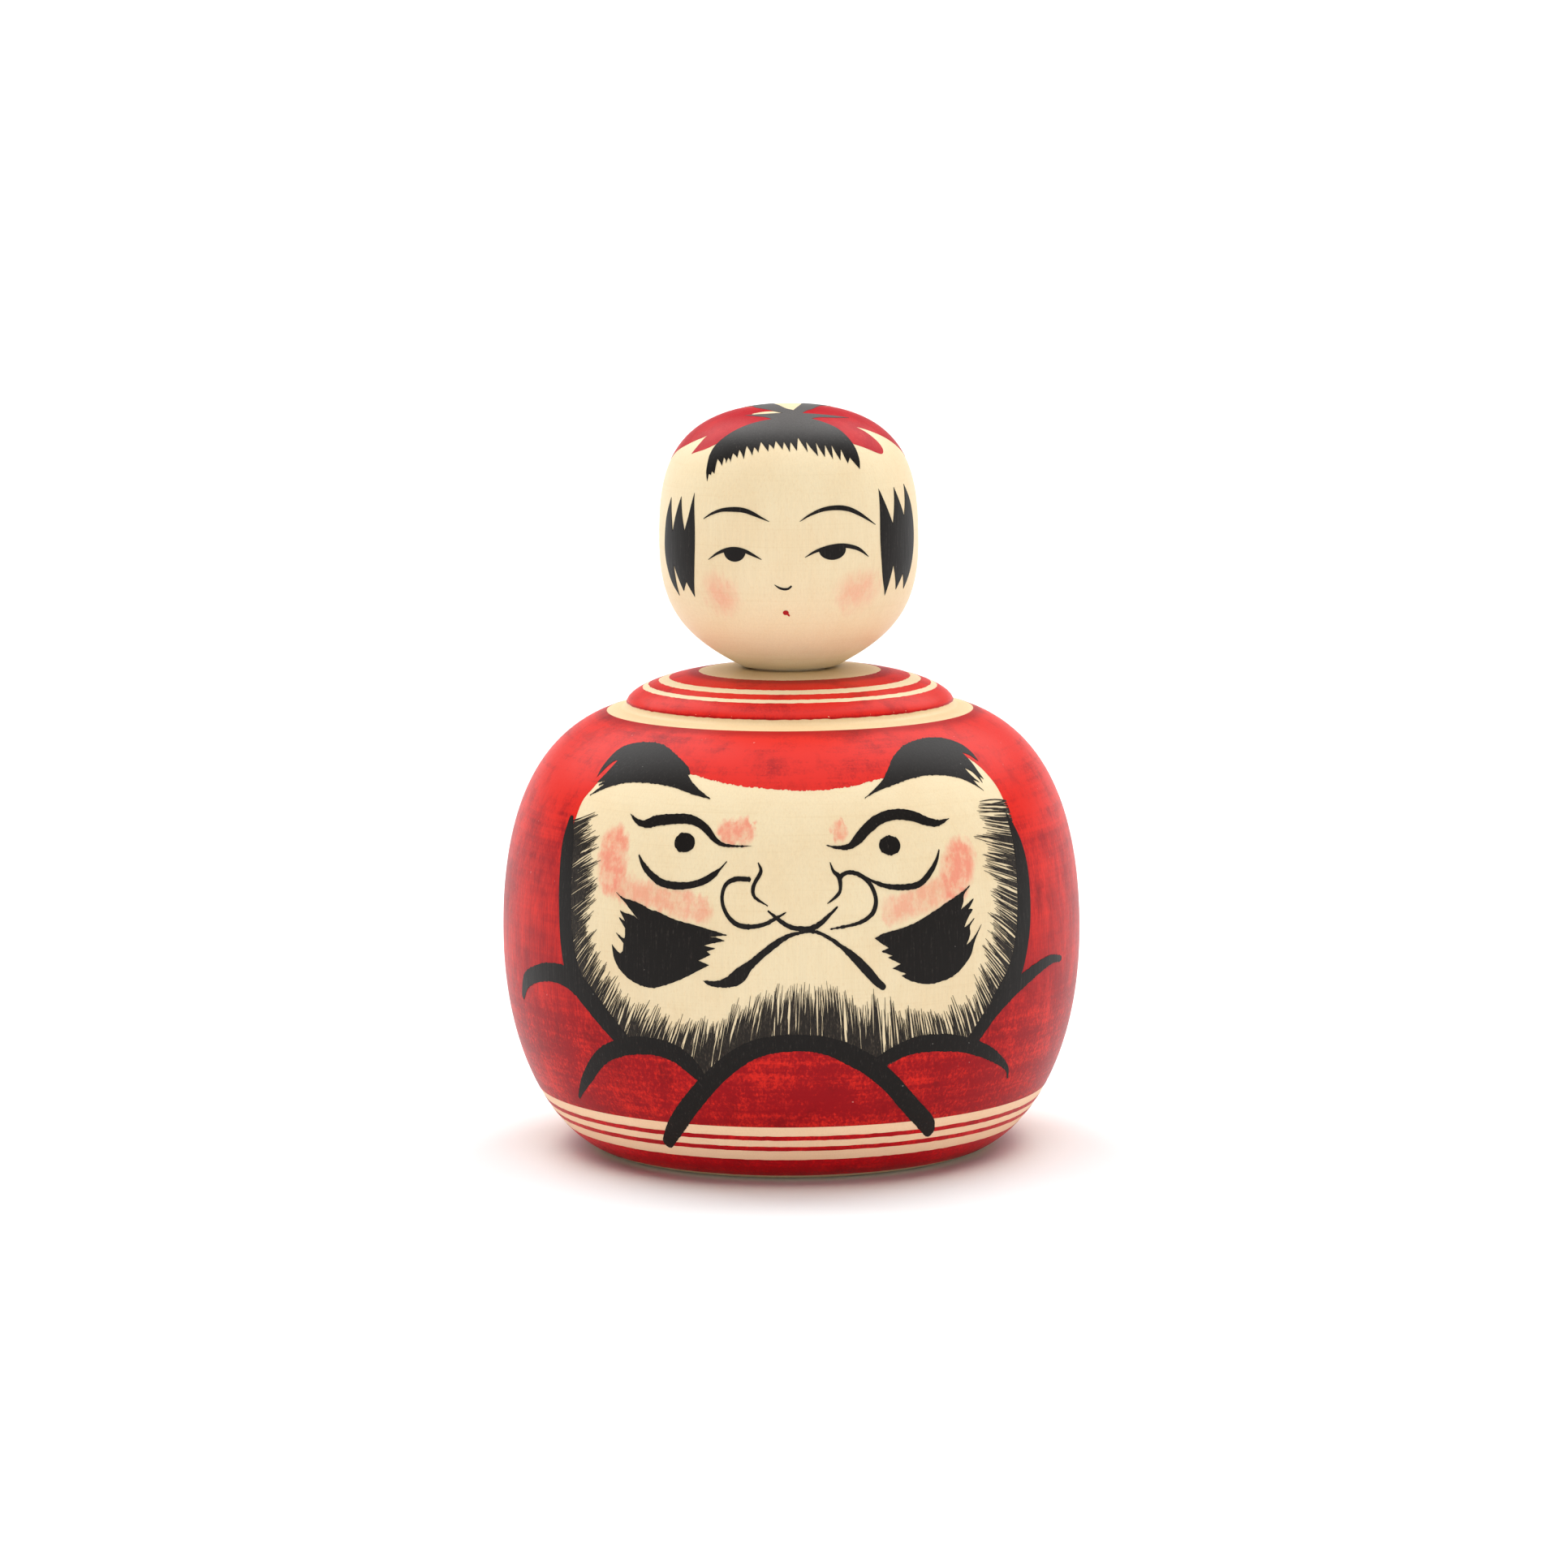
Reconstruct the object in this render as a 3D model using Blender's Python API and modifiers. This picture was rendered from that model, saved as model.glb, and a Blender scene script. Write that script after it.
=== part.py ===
"""A two-piece turned wooden doll: a round squat body, and an egg-shaped head whose neck turns in it.

Units are metres and +Z is up. The origin is the centre of the flat foot, and the front faces -Y.
Both pieces are turned on one upright axis, so each is an outline spun by a Screw modifier. An
outline is a list of (radius, height) pairs in millimetres, which runs down its outer side.
"""

import math

import bpy
from mathutils import Vector
from mathutils.geometry import interpolate_bezier

MM = 0.001

# Body: from its flat foot, over the widest part, to the shoulder, the crease and the dome on top.
# A pull is a curve's handle: the outline leaves one of its ends towards that (radius, height).
FOOT_RADIUS = 24.3
FOOT_PULL = (29.7, 0.9)
BODY_RADIUS = 37.5
BODY_WIDEST_Z = 28.2
BELLY_PULL_Z = 10.1
CHEST_PULL_Z = 42.1
SHOULDER_PULL = (34.2, 51.3)
SHOULDER_RADIUS = 24.5
SHOULDER_Z = 57.1
CREASE_RADIUS = 21.2
CREASE_Z = 58.0
CREASE_PULL = (20.6, 60.4)
DOME_TOP_PULL = (12.1, 62.5)
DOME_TOP_Z = 62.35

# Socket: a blind hole in the dome, undercut below its lip so that the neck can't pull out.
MOUTH_RADIUS = 5.4
LIP_RADIUS = 4.9
LIP_BOTTOM_Z = 59.6
CHAMBER_RADIUS = 5.9
CHAMBER_BOTTOM_Z = 49.5

# Head: heights are above its seat, the flat ring of its underside.
CLEARANCE = 0.3
SEAT_Z = DOME_TOP_Z + CLEARANCE
SEAT_RADIUS = 6.0
CHIN_PULL = (12.6, 3.35)
JAW_PULL_HEIGHT = 6.65
HEAD_RADIUS = 16.75
WIDEST_HEIGHT = 15.85
TEMPLE_PULL_HEIGHT = 23.75
CROWN_PULL_RADIUS = 16.5
HEAD_HEIGHT = 33.75

# Neck: a plain shank through the lip, then a bead that is wider than the lip.
SHANK_RADIUS = LIP_RADIUS - CLEARANCE
BEAD_CLEARANCE = 0.4
BEAD_RADIUS = CHAMBER_RADIUS - BEAD_CLEARANCE
BEAD_DROP = 1.1
BEAD_LENGTH = 3.0
NECK_LENGTH = 12.4
NECK_TIP_RADIUS = 3.6

TURN_STEPS = 64
CURVE_PIECES = 9
SMALL_CURVE_PIECES = 6
WELD_DISTANCE = 0.00001


def curve(start, start_handle, end_handle, end, pieces):
    """Points along a cubic curve between two (radius, height) pairs, without its first point."""
    corners = [Vector((r, z, 0.0)) for r, z in (start, start_handle, end_handle, end)]
    points = interpolate_bezier(*corners, pieces + 1)
    return [(point.x, point.y) for point in points[1:]]


def socket_outline():
    """The socket, from the centre of its floor up to its mouth."""
    chamfer = MOUTH_RADIUS - LIP_RADIUS
    undercut = CHAMBER_RADIUS - LIP_RADIUS
    return [
        (0.0, CHAMBER_BOTTOM_Z),
        (CHAMBER_RADIUS - undercut, CHAMBER_BOTTOM_Z),
        (CHAMBER_RADIUS, CHAMBER_BOTTOM_Z + undercut),
        (CHAMBER_RADIUS, LIP_BOTTOM_Z - undercut),
        (LIP_RADIUS, LIP_BOTTOM_Z),
        (LIP_RADIUS, DOME_TOP_Z - chamfer),
        (MOUTH_RADIUS, DOME_TOP_Z),
    ]


def body_outline():
    """The whole body: socket, dome, crease, shoulder ledge, round belly and flat foot."""
    crease = (CREASE_RADIUS, CREASE_Z)
    shoulder = (SHOULDER_RADIUS, SHOULDER_Z)
    widest = (BODY_RADIUS, BODY_WIDEST_Z)
    foot = (FOOT_RADIUS, 0.0)
    outline = socket_outline()
    outline += curve(outline[-1], DOME_TOP_PULL, CREASE_PULL, crease, SMALL_CURVE_PIECES)
    outline.append(shoulder)
    outline += curve(shoulder, SHOULDER_PULL, (BODY_RADIUS, CHEST_PULL_Z), widest, CURVE_PIECES)
    outline += curve(widest, (BODY_RADIUS, BELLY_PULL_Z), FOOT_PULL, foot, CURVE_PIECES)
    outline.append((0.0, 0.0))
    return outline


def head_outline():
    """The head and its neck, from the crown down to the neck's tip, with the seat at height 0."""
    crown = (0.0, HEAD_HEIGHT)
    crown_pull = (CROWN_PULL_RADIUS, HEAD_HEIGHT)
    temple_pull = (HEAD_RADIUS, TEMPLE_PULL_HEIGHT)
    jaw_pull = (HEAD_RADIUS, JAW_PULL_HEIGHT)
    widest = (HEAD_RADIUS, WIDEST_HEIGHT)
    seat = (SEAT_RADIUS, 0.0)
    bead_top = LIP_BOTTOM_Z - SEAT_Z - BEAD_DROP
    bead_bottom = bead_top - BEAD_LENGTH
    outline = [crown]
    outline += curve(crown, crown_pull, temple_pull, widest, CURVE_PIECES)
    outline += curve(widest, jaw_pull, CHIN_PULL, seat, CURVE_PIECES)
    outline += [
        (SHANK_RADIUS, 0.0),
        (SHANK_RADIUS, bead_top + BEAD_RADIUS - SHANK_RADIUS),
        (BEAD_RADIUS, bead_top),
        (BEAD_RADIUS, bead_bottom),
        (NECK_TIP_RADIUS, -NECK_LENGTH),
        (0.0, -NECK_LENGTH),
    ]
    return outline


def wood(name, color, roughness, coat):
    """A Principled material for turned wood."""
    material = bpy.data.materials.new(name)
    material.use_nodes = True
    shader = material.node_tree.nodes["Principled BSDF"]
    shader.inputs["Base Color"].default_value = (*color, 1.0)
    shader.inputs["Roughness"].default_value = roughness
    shader.inputs["Metallic"].default_value = 0.0
    shader.inputs["Coat Weight"].default_value = coat
    return material


def turned(name, outline, seat_z, material, collection):
    """One turned piece: the outline spun once about Z, standing at seat_z on that axis."""
    points = [(r * MM, 0.0, z * MM) for r, z in outline]
    edges = [(i, i + 1) for i in range(len(points) - 1)]
    mesh = bpy.data.meshes.new(name)
    mesh.from_pydata(points, edges, [])
    mesh.materials.append(material)
    piece = bpy.data.objects.new(name, mesh)
    collection.objects.link(piece)
    piece.location.z = seat_z * MM
    turn = piece.modifiers.new("Turn", "SCREW")
    turn.axis = "Z"
    turn.angle = math.tau
    turn.steps = TURN_STEPS
    turn.render_steps = TURN_STEPS
    turn.use_merge_vertices = True
    turn.merge_threshold = WELD_DISTANCE
    turn.use_smooth_shade = True
    return piece


def clear_scene():
    for old in list(bpy.data.objects):
        bpy.data.objects.remove(old, do_unlink=True)


def main():
    clear_scene()
    doll = bpy.data.collections.new("kokeshi_doll")
    bpy.context.scene.collection.children.link(doll)
    red = wood("red_dyed_wood", (0.40, 0.012, 0.018), roughness=0.42, coat=0.15)
    pale = wood("pale_wood", (0.80, 0.62, 0.42), roughness=0.5, coat=0.1)
    body = turned("body", body_outline(), 0.0, red, doll)
    head = turned("head", head_outline(), SEAT_Z, pale, doll)
    head.parent = body


main()
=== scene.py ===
"""The looks of a two-piece turned wooden doll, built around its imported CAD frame.

The doll's two blocks are turned again here as fine meshes. Everything painted on them is a film: a
thin closed solid that lies on the turned surface, cut to the outline of the brushwork, so that each
dyed band and each stroke of ink keeps a crisp edge. Films are drawn on charts, which are flat maps
of a turned surface in millimetres. The front of the doll faces -Y, and left is the viewer's left.
"""

import math
import random

import bpy
import numpy as np
from mathutils import Euler, Matrix, Vector
from mathutils.geometry import delaunay_2d_cdt, interpolate_bezier


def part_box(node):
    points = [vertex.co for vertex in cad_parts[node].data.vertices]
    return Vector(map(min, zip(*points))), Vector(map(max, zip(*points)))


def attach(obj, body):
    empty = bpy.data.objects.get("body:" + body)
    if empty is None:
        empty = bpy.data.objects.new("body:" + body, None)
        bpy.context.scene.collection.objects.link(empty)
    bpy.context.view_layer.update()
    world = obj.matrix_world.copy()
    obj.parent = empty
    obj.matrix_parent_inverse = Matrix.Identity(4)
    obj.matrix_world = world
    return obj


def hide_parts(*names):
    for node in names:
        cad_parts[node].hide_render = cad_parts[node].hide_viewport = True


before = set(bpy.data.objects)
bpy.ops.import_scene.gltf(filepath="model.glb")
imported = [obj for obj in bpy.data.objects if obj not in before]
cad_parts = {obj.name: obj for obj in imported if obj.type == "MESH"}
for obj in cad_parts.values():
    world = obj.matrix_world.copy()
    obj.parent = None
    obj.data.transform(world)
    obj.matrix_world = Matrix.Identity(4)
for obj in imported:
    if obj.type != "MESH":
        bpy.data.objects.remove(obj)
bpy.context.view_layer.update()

MM = 0.001

# The body that a piece goes with, and a slot name.
ON_BODY = ("doll_body", "painted_body")
ON_HEAD = ("doll_head", "painted_head")

# Sizes in millimetres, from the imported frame.
body_low, body_high = (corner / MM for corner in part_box("body"))
head_low, head_high = (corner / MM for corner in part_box("head"))
BODY_RADIUS = (body_high.x - body_low.x) / 2
DOME_TOP_Z = body_high.z
HEAD_RADIUS = (head_high.x - head_low.x) / 2
CROWN_Z = head_high.z
NECK_TIP_Z = head_low.z

# The body's outline. A pull is a curve's handle.
FOOT_RADIUS = 24.3
FOOT_PULL = (29.7, 0.9)
WIDEST_Z = 28.2
BELLY_PULL_Z = 10.1
CHEST_PULL_Z = 42.0
SHOULDER_PULL = (33.9, 53.8)
SHOULDER = (22.95, 57.18)
GROOVE_PULLS = ((21.3, 57.45), (21.8, 57.25))
GROOVE_EDGE = (22.1, 57.32)
CREASE = (21.2, 58.0)
CREASE_PULL = (20.6, 60.4)
DOME_TOP_PULL = (12.1, 62.5)
MOUTH_RADIUS = 5.4
LIP_RADIUS = 4.9
LIP_BOTTOM_Z = 59.6
CHAMBER_RADIUS = 5.9
CHAMBER_BOTTOM_Z = 49.5

# The underside: a resting rim, then a faint recess with turning grooves in it.
RIM_WIDTH = 1.2
RECESS_DEPTH = 0.15
TURNING_RADII = (17.5, 11.0, 5.0)
TURNING_HALF_WIDTH = 0.35

# The head's outline.
SEAT = (6.3, DOME_TOP_Z + 0.3)
CHIN_PULL = (12.6, 66.0)
JAW_PULL_Z = 69.3
HEAD_WIDEST_Z = 78.5
TEMPLE_PULL_Z = 86.4
CROWN_PULL_RADIUS = 16.5
SHANK_RADIUS = 4.6
BEAD_RADIUS = 5.5
BEAD_TOP_Z = 58.5
BEAD_BOTTOM_Z = 55.5
NECK_TIP_RADIUS = 3.6

# Films: how far their faces stand over the wood, how deep they reach into it, and a ring's rows.
DYE_LIFT = 0.03
INK_LIFT = 0.06
SINK = 0.02
BAND_STEP = 0.6

# Turned meshes: columns round them, and the angle from which their edges are sharp.
COLUMNS = 256
COLUMN_TURNS = np.arange(COLUMNS) * math.tau / COLUMNS
SHARP_DEGREES = 28

# Drawing: the step along a smooth line, the width of a wood fibre, how many fibres differ, and the
# width from which a brush stroke ends round and not in a point.
LINE_STEP = 0.35
FIBRE = 0.22
FIBRES = 997
ROUND_FROM = 0.5


# ---- turned surfaces and charts

def curve(start, start_pull, end_pull, end, pieces):
    """Points along a cubic curve between two (radius, height) pairs, without its first point."""
    corners = [Vector((r, z, 0.0)) for r, z in (start, start_pull, end_pull, end)]
    return [(point.x, point.y) for point in interpolate_bezier(*corners, pieces + 1)[1:]]


def around_axis(r, turn, z):
    """Points at a radius, a turn from the front and a height."""
    return np.stack([r * np.sin(turn), -r * np.cos(turn), z], axis=-1)


def body_side():
    """The body's outer side, from the socket's mouth down to the edge of the foot."""
    widest = (BODY_RADIUS, WIDEST_Z)
    mouth = (MOUTH_RADIUS, DOME_TOP_Z)
    side = [mouth]
    side += curve(mouth, DOME_TOP_PULL, CREASE_PULL, CREASE, pieces=40)
    side += curve(CREASE, *GROOVE_PULLS, GROOVE_EDGE, pieces=8)
    side += curve(GROOVE_EDGE, GROOVE_EDGE, SHOULDER, SHOULDER, pieces=5)
    side += curve(SHOULDER, SHOULDER_PULL, (BODY_RADIUS, CHEST_PULL_Z), widest, pieces=60)
    side += curve(widest, (BODY_RADIUS, BELLY_PULL_Z), FOOT_PULL, (FOOT_RADIUS, 0.0), pieces=60)
    return side


def head_side():
    """The head's outer side, from the crown down to the edge of its seat."""
    crown = (0.0, CROWN_Z)
    widest = (HEAD_RADIUS, HEAD_WIDEST_Z)
    temple_pull = (HEAD_RADIUS, TEMPLE_PULL_Z)
    side = [crown]
    side += curve(crown, (CROWN_PULL_RADIUS, CROWN_Z), temple_pull, widest, pieces=60)
    side += curve(widest, (HEAD_RADIUS, JAW_PULL_Z), CHIN_PULL, SEAT, pieces=50)
    return side


def socket():
    """The blind socket, from the centre of its floor up to just inside its mouth."""
    chamfer = MOUTH_RADIUS - LIP_RADIUS
    undercut = CHAMBER_RADIUS - LIP_RADIUS
    return [
        (0.0, CHAMBER_BOTTOM_Z),
        (LIP_RADIUS, CHAMBER_BOTTOM_Z),
        (CHAMBER_RADIUS, CHAMBER_BOTTOM_Z + undercut),
        (CHAMBER_RADIUS, LIP_BOTTOM_Z - undercut),
        (LIP_RADIUS, LIP_BOTTOM_Z),
        (LIP_RADIUS, DOME_TOP_Z - chamfer),
    ]


def underside():
    """The foot, from its rim in to the small stub that the lathe's centre leaves."""
    rim, depth, half = FOOT_RADIUS - RIM_WIDTH, RECESS_DEPTH, TURNING_HALF_WIDTH
    points = [(rim, 0.0), (rim - 0.3, depth)]
    for radius in TURNING_RADII:
        points += [(radius + half, depth), (radius, depth * 2), (radius - half, depth)]
    return points + [(1.6, depth), (1.2, depth * 0.3), (0.0, depth * 0.2)]


def neck():
    """The neck below the head's seat: shank, bead and tapered tip."""
    return [
        (SHANK_RADIUS, SEAT[1]),
        (SHANK_RADIUS, BEAD_TOP_Z + BEAD_RADIUS - SHANK_RADIUS),
        (BEAD_RADIUS, BEAD_TOP_Z),
        (BEAD_RADIUS, BEAD_BOTTOM_Z),
        (NECK_TIP_RADIUS, NECK_TIP_Z),
        (0.0, NECK_TIP_Z),
    ]


class Surface:
    """A turned side, read by the distance along its outline from the outline's first point."""

    def __init__(self, outline):
        self.radius, self.height = np.array(outline).T
        steps = np.hypot(np.diff(self.radius), np.diff(self.height))
        self.length = np.concatenate([[0.0], np.cumsum(steps)])
        across = np.gradient(self.radius, self.length)
        down = np.gradient(self.height, self.length)
        size = np.hypot(across, down)
        self.normal_out = -down / size
        self.normal_up = across / size

    def at_height(self, z):
        return np.interp(-np.asarray(z), -self.height, self.length)

    def at_radius(self, r):
        """The place on the widening top of the outline with that radius."""
        rising = np.argmax(self.radius >= r)
        return np.interp(r, self.radius[: rising + 1], self.length[: rising + 1])

    def height_at(self, along):
        return np.interp(along, self.length, self.height)

    def normals(self, turn, along):
        out = np.interp(along, self.length, self.normal_out)
        return around_axis(out, turn, np.interp(along, self.length, self.normal_up))

    def points(self, turn, along, lift):
        r = np.interp(along, self.length, self.radius)
        base = around_axis(r, turn, self.height_at(along))
        return base + lift * self.normals(turn, along)


class Wall:
    """A chart of a turned side: (distance round it at its widest, height), as seen from outside."""

    def __init__(self, surface, radius):
        self.surface = surface
        self.radius = radius

    def to_surface(self, spots):
        return spots[:, 0] / self.radius, self.surface.at_height(spots[:, 1])

    def rows(self, low, high, gap):
        """Heights a gap apart along the outline, which are closer together where it slopes."""
        start, end = self.surface.at_height(high), self.surface.at_height(low)
        return self.surface.height_at(np.arange(start + gap / 2, end, gap))


class Crown:
    """A chart of a turned top from above: true distances from its centre, with the front at -Y."""

    def __init__(self, surface):
        self.surface = surface

    def to_surface(self, spots):
        return np.arctan2(spots[:, 0], -spots[:, 1]), np.hypot(spots[:, 0], spots[:, 1])

    def rows(self, low, high, gap):
        return np.arange(low + gap / 2, high, gap)


body_surface = Surface(body_side())
head_surface = Surface(head_side())
belly = Wall(body_surface, BODY_RADIUS)
face = Wall(head_surface, HEAD_RADIUS)
crown = Crown(head_surface)


# ---- drawing on a chart

def smooth(knots, step=LINE_STEP):
    """A curve through the knots (Catmull-Rom), with a point about every step millimetres."""
    knots = np.asarray(knots, float)
    if len(knots) < 3:
        return knots
    ends = np.vstack([2 * knots[0] - knots[1], knots, 2 * knots[-1] - knots[-2]])
    found = []
    for before, start, end, after in zip(ends, ends[1:], ends[2:], ends[3:]):
        pieces = max(1, round(float(np.hypot(*(end - start)[:2])) / step))
        t = (np.arange(pieces) / pieces)[:, None]
        bend = (2 * before - 5 * start + 4 * end - after) * t**2
        twist = (3 * start - before - 3 * end + after) * t**3
        found.append(start + 0.5 * ((end - before) * t + bend + twist))
    return np.vstack(found + [knots[-1:]])


def shape(*sides):
    """A closed outline of smooth sides that meet in corners. Each side starts where the last ended."""
    points = []
    start = sides[-1][-1]
    for side in sides:
        points.append(smooth([start] + list(side))[:-1])
        start = side[-1]
    return np.vstack(points)


ALL_ROUND = np.arange(28) * math.tau / 28
BELOW_LID = np.linspace(math.pi * 0.95, math.pi * 2.05, 18)


def ellipse(center, half_width, half_height, turn=ALL_ROUND):
    """An ellipse's outline, or the part of it at the given turns."""
    return np.stack([center[0] + half_width * np.cos(turn), center[1] + half_height * np.sin(turn)], 1)


def stroke(knots, step=LINE_STEP):
    """A brush stroke's outline. A knot is (x, y, width), and a wide end is rounded."""
    line = smooth(knots, step)
    centre, half = line[:, :2], line[:, 2:] / 2
    along = np.gradient(centre, axis=0)
    along /= np.maximum(np.hypot(*along.T), 1e-6)[:, None]
    across = np.stack([-along[:, 1], along[:, 0]], 1)
    left = centre + across * half
    right = centre - across * half
    turn = np.linspace(0, math.pi, 7)[1:-1, None]
    end_cap = centre[-1] + half[-1] * (np.cos(turn) * across[-1] + np.sin(turn) * along[-1])
    start_cap = centre[0] - half[0] * (np.cos(turn) * across[0] + np.sin(turn) * along[0])
    parts = [right, end_cap[::-1], left[::-1], start_cap[::-1]]
    if half[0, 0] < ROUND_FROM / 2:
        parts.pop()
    if half[-1, 0] < ROUND_FROM / 2:
        parts.pop(1)
    return np.vstack(parts)


def resampled(outline, step):
    """The outline with more points, so that no side is longer than step."""
    found = []
    for start, end in zip(outline, np.roll(outline, -1, axis=0)):
        pieces = max(1, math.ceil(float(np.hypot(*(end - start))) / step))
        t = (np.arange(pieces) / pieces)[:, None]
        found.append(start + (end - start) * t)
    return np.vstack(found)


def bled(outline, amount, seed):
    """The outline with its edge run along the upright grain, as ink does in bare wood."""
    draw = random.Random(seed)
    runs = [draw.random() ** 2 for _ in range(FIBRES)]
    points = resampled(outline, FIBRE)
    ahead = np.roll(points, -1, axis=0) - np.roll(points, 1, axis=0)
    area = np.sum(points[:, 0] * np.roll(points[:, 1], -1) - np.roll(points[:, 0], -1) * points[:, 1])
    outward = -np.sign(area) * ahead[:, 0] / np.maximum(np.hypot(*ahead.T), 1e-6)
    cells = np.floor(points[:, 0] / FIBRE).astype(int)
    shift = np.array([runs[cell % FIBRES] for cell in cells])
    points[:, 1] += amount * shift * outward
    return points


def inside(points, outline):
    """Which points lie inside the closed outline."""
    x, y = points[:, 0], points[:, 1]
    hit = np.zeros(len(points), bool)
    for (x0, y0), (x1, y1) in zip(outline, np.roll(outline, -1, axis=0)):
        spans = (y0 > y) != (y1 > y)
        if spans.any():
            cross = x0 + (y - y0) * (x1 - x0) / (y1 - y0)
            hit ^= spans & (x < cross)
    return hit


def near(points, outline, gap):
    """Which points lie closer than gap to a point of the outline."""
    close = np.zeros(len(points), bool)
    for spot in outline:
        close |= np.hypot(*(points - spot).T) < gap
    return close


# ---- meshes

def new_object(name, data):
    made = bpy.data.objects.new(name, data)
    bpy.context.scene.collection.objects.link(made)
    return made


def new_piece(name, points, faces, look):
    """A piece with a look, which is its material, its body and a slot, which is not used."""
    material, body, slot = look
    mesh = bpy.data.meshes.new(name)
    mesh.from_pydata((np.asarray(points) * MM).tolist(), [], faces)
    mesh.materials.append(material)
    piece = new_object(name, mesh)
    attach(piece, body)
    return piece


def quad(upper, lower, column):
    """The face in one column between two rings of points, given each ring's first point number."""
    ahead = (column + 1) % COLUMNS
    return (upper + column, lower + column, lower + ahead, upper + ahead)


def lathe(name, outline, look):
    """A closed turned mesh. The outline starts and ends on the axis and runs down its outer side."""
    radius, height = np.array(outline).T
    levels = height[1:-1, None] + 0 * COLUMN_TURNS
    rings = around_axis(radius[1:-1, None], COLUMN_TURNS, levels).reshape(-1, 3)
    points = np.vstack([[(0, 0, height[0])], rings, [(0, 0, height[-1])]])
    last = len(points) - 1
    firsts = range(1, last, COLUMNS)
    faces = []
    for column in range(COLUMNS):
        ahead = (column + 1) % COLUMNS
        faces.append((0, 1 + column, 1 + ahead))
        faces += [quad(upper, lower, column) for upper, lower in zip(firsts, firsts[1:])]
        faces.append((firsts[-1] + column, last, firsts[-1] + ahead))
    piece = new_piece(name, points, faces, look)
    piece.data.shade_smooth()
    piece.data.set_sharp_from_angle(angle=math.radians(SHARP_DEGREES))
    return piece


def shell(name, surface, turn, along, faces, lift, look):
    """A thin closed solid on the surface, from flat faces given as outward loops of point numbers."""
    top = surface.points(turn, along, lift)
    bottom = surface.points(turn, along, -SINK)
    keys = np.round(surface.points(turn, along, 0.0), 4) + 0.0
    _, first, label = np.unique(keys, axis=0, return_index=True, return_inverse=True)
    label = label.reshape(-1)
    count = len(first)
    loops = [tuple(int(label[i]) for i in face) for face in faces]
    loops = [loop for loop in loops if len(set(loop)) == len(loop)]
    sides = {(a, b) for loop in loops for a, b in zip(loop, loop[1:] + loop[:1])}
    rim = sorted((a, b) for a, b in sides if (b, a) not in sides)
    under = [tuple(i + count for i in reversed(loop)) for loop in loops]
    walls = [(b, a, a + count, b + count) for a, b in rim]
    points = np.vstack([top[first], bottom[first]])
    piece = new_piece(name, points, loops + under + walls, look)
    normals = surface.normals(turn, along)[first]
    wall_normals = []
    for b, a, lower_a, _ in walls:
        facing = np.cross(points[a] - points[b], points[lower_a] - points[a])
        wall_normals += [facing / max(np.linalg.norm(facing), 1e-9)] * 4
    custom = [normals[i] for loop in loops for i in loop]
    custom += [-normals[i - count] for loop in under for i in loop]
    piece.data.shade_smooth()
    piece.data.normals_split_custom_set([tuple(map(float, n)) for n in custom + wall_normals])


def film(name, chart, outlines, lift, look, grid=None, edge=0.4, holes=()):
    """A film cut to the outlines, drawn on a chart. Outlines that overlap become one film.

    Its edges have a point every edge millimetres, and a wide film also has a grid of points inside."""
    outlines = [resampled(np.asarray(outline), edge) for outline in outlines]
    holes = [resampled(np.asarray(hole), edge) for hole in holes]
    spots, rings = [], []
    for outline in outlines + holes:
        rings.append(list(range(len(spots), len(spots) + len(outline))))
        spots += list(outline)
    if grid:
        low = np.vstack(outlines).min(0)
        high = np.vstack(outlines).max(0)
        columns = np.arange(low[0] + grid / 2, high[0], grid)
        rows = chart.rows(low[1], high[1], grid)
        lattice = np.stack(np.meshgrid(columns, rows), -1).reshape(-1, 2)
        keep = np.zeros(len(lattice), bool)
        for outline in outlines:
            keep |= inside(lattice, outline)
        lattice = lattice[keep]
        for outline in outlines + holes:
            lattice = lattice[~near(lattice, outline, grid * 0.45)]
        spots += list(lattice)
    edges = [(a, b) for ring in rings[len(outlines):] for a, b in zip(ring, ring[1:] + ring[:1])]
    flat, _, triangles, *_ = delaunay_2d_cdt(
        [Vector(spot) for spot in spots], edges, rings[: len(outlines)], 1, 1e-5
    )
    flat = np.array([tuple(spot) for spot in flat])
    corners = np.array([tuple(t) for t in triangles])
    ab = flat[corners[:, 1]] - flat[corners[:, 0]]
    ac = flat[corners[:, 2]] - flat[corners[:, 0]]
    area = ab[:, 0] * ac[:, 1] - ab[:, 1] * ac[:, 0]
    corners = np.where((area < 0)[:, None], corners[:, ::-1], corners)[np.abs(area) > 1e-9]
    middles = flat[corners].mean(axis=1)
    for hole in holes:
        outside = ~inside(middles, hole)
        corners, middles = corners[outside], middles[outside]
    turn, along = chart.to_surface(flat)
    shell(name, chart.surface, turn, along, corners.tolist(), lift, look)


def band(name, top, bottom, look, wobble, seed):
    """A dyed ring between two distances along the body's side, with edges a little uneven."""
    draw = random.Random(seed)
    rows = max(2, math.ceil((bottom - top) / BAND_STEP) + 1)
    share = np.linspace(0.0, 1.0, rows)[:, None]
    starts = top + wobble * np.array([draw.uniform(-1, 1) for _ in range(COLUMNS)])
    ends = bottom + wobble * np.array([draw.uniform(-1, 1) for _ in range(COLUMNS)])
    along = starts + (ends - starts) * share
    firsts = range(0, (rows - 1) * COLUMNS, COLUMNS)
    faces = [quad(first, first + COLUMNS, column) for first in firsts for column in range(COLUMNS)]
    turns = np.broadcast_to(COLUMN_TURNS, along.shape)
    shell(name, body_surface, turns.ravel(), along.ravel(), faces, DYE_LIFT, look)


# ---- materials

BUMP_HEIGHT = 0.05


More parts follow.
